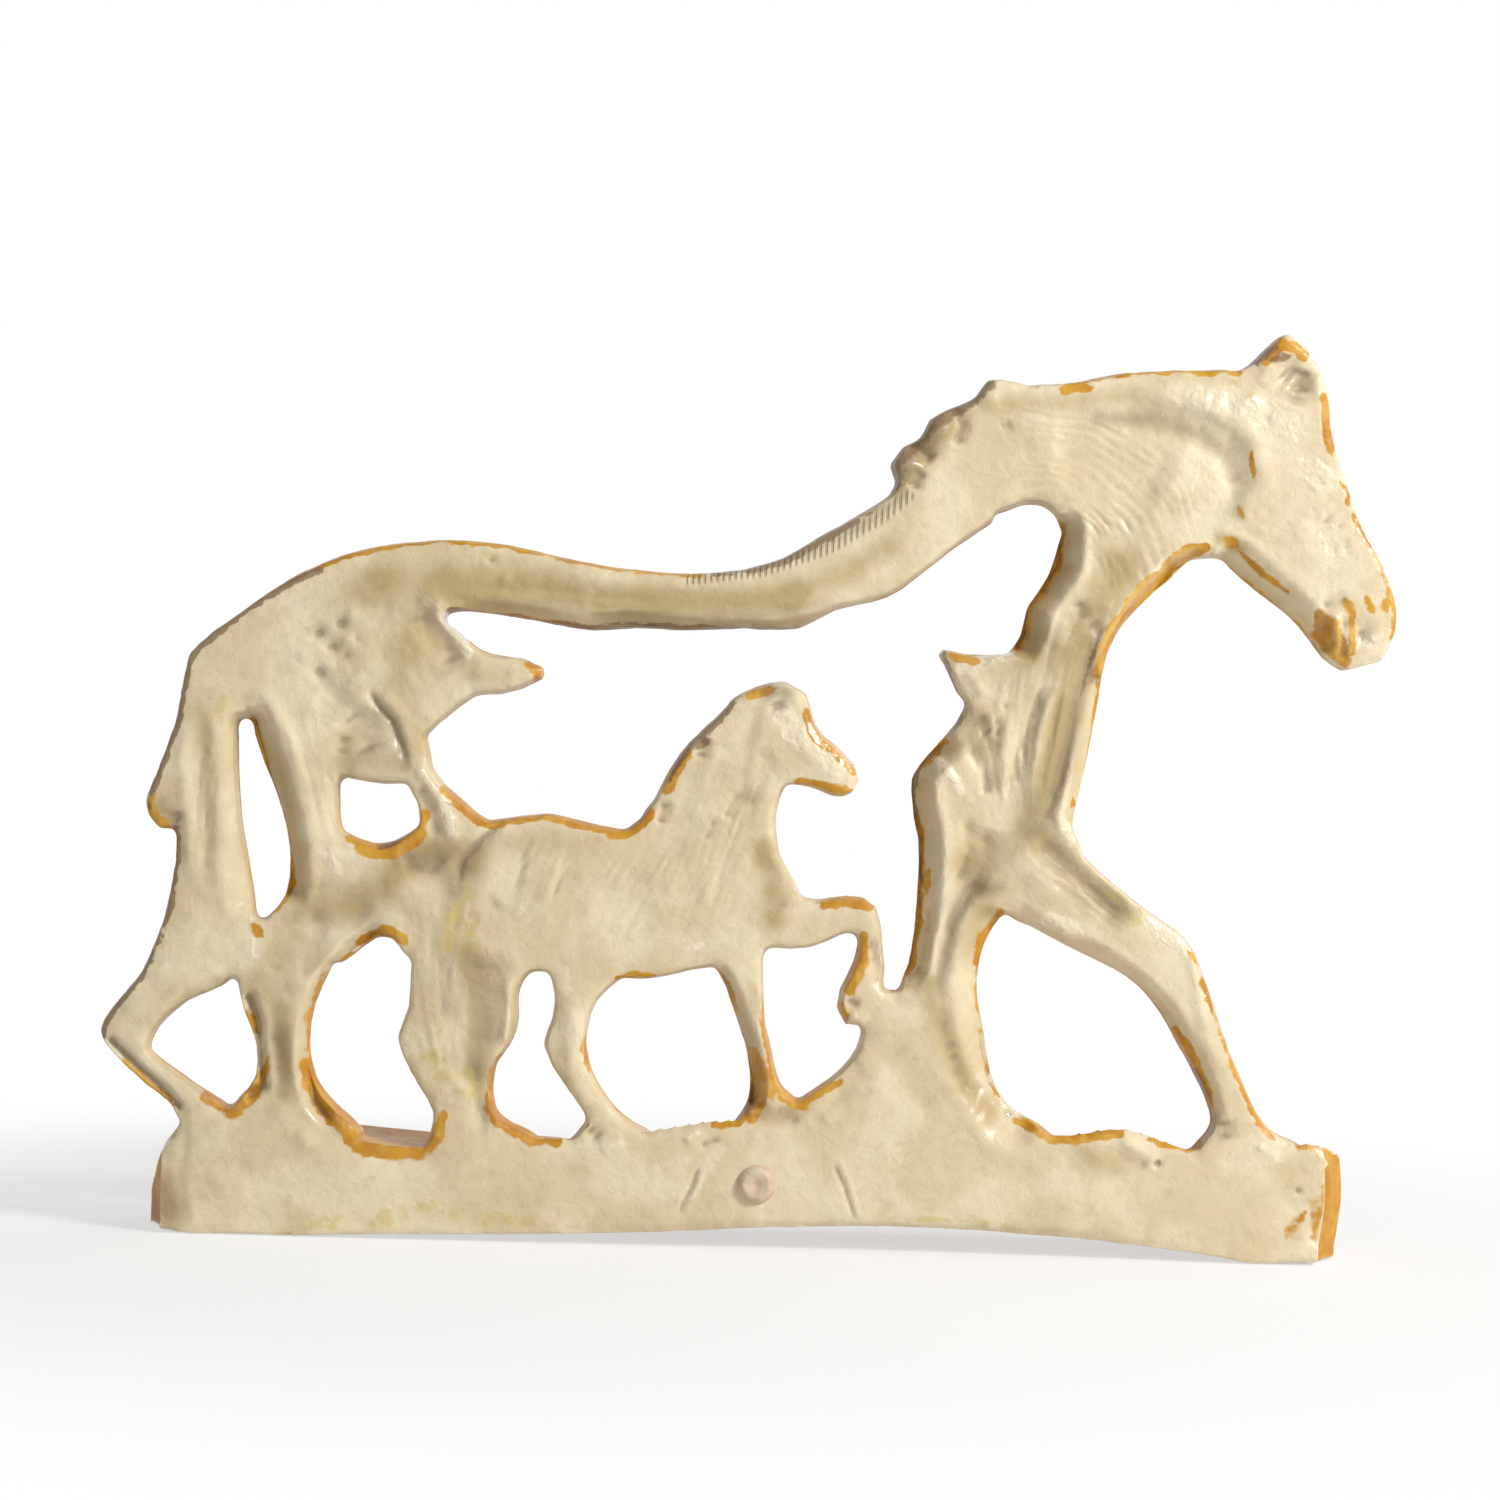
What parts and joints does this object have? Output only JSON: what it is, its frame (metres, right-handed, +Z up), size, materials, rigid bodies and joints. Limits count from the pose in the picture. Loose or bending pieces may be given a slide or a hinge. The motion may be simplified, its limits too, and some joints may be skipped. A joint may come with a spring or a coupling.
{
  "type": "openwork horse figurine",
  "caption": "Openwork relief figurine of a striding mare with a foal inside the arch of her body, on a long slab base, hollowed and flat at the rear.",
  "frame": {"origin": "centre of the whole object's box in plan, on the surface that the base stands on", "axes": "+X towards the mare's head, along the base; -Y out of the flat rear; +Z up"},
  "size_m": [0.28, 0.0438, 0.202],
  "materials": {
    "cream_glaze": "satin to glossy cream glaze with ochre where it thins on rims and over the relief side",
    "bare_clay": "matt tan body showing through a thin brushed coat"
  },
  "bodies": {
    "root": {"base_slab": "cream_glaze", "casting_nub": "bare_clay", "flank_strand": "cream_glaze", "foal_barrel": "cream_glaze", "foal_far_hind_leg": "cream_glaze", "foal_head": "cream_glaze", "foal_mane": "cream_glaze", "foal_near_hind_leg": "cream_glaze", "foal_neck": "cream_glaze", "foal_raised_foreleg": "cream_glaze", "foal_standing_foreleg": "cream_glaze", "foal_tail": "cream_glaze", "grass_mound": "cream_glaze", "mare_back": "cream_glaze", "mare_ears": "cream_glaze", "mare_elbow_spur": "cream_glaze", "mare_flank_spur": "cream_glaze", "mare_head": "cream_glaze", "mare_hindquarters": "cream_glaze", "mare_mane": "cream_glaze", "mare_near_hind_leg": "cream_glaze", "mare_neck": "cream_glaze", "mare_shoulder": "cream_glaze", "mare_stepping_foreleg": "cream_glaze", "mare_straight_foreleg": "cream_glaze", "mare_tail": "cream_glaze", "mare_trailing_hind_leg": "cream_glaze", "mare_withers": "cream_glaze", "thigh_bridge": "cream_glaze"}
  },
  "joints": []
}
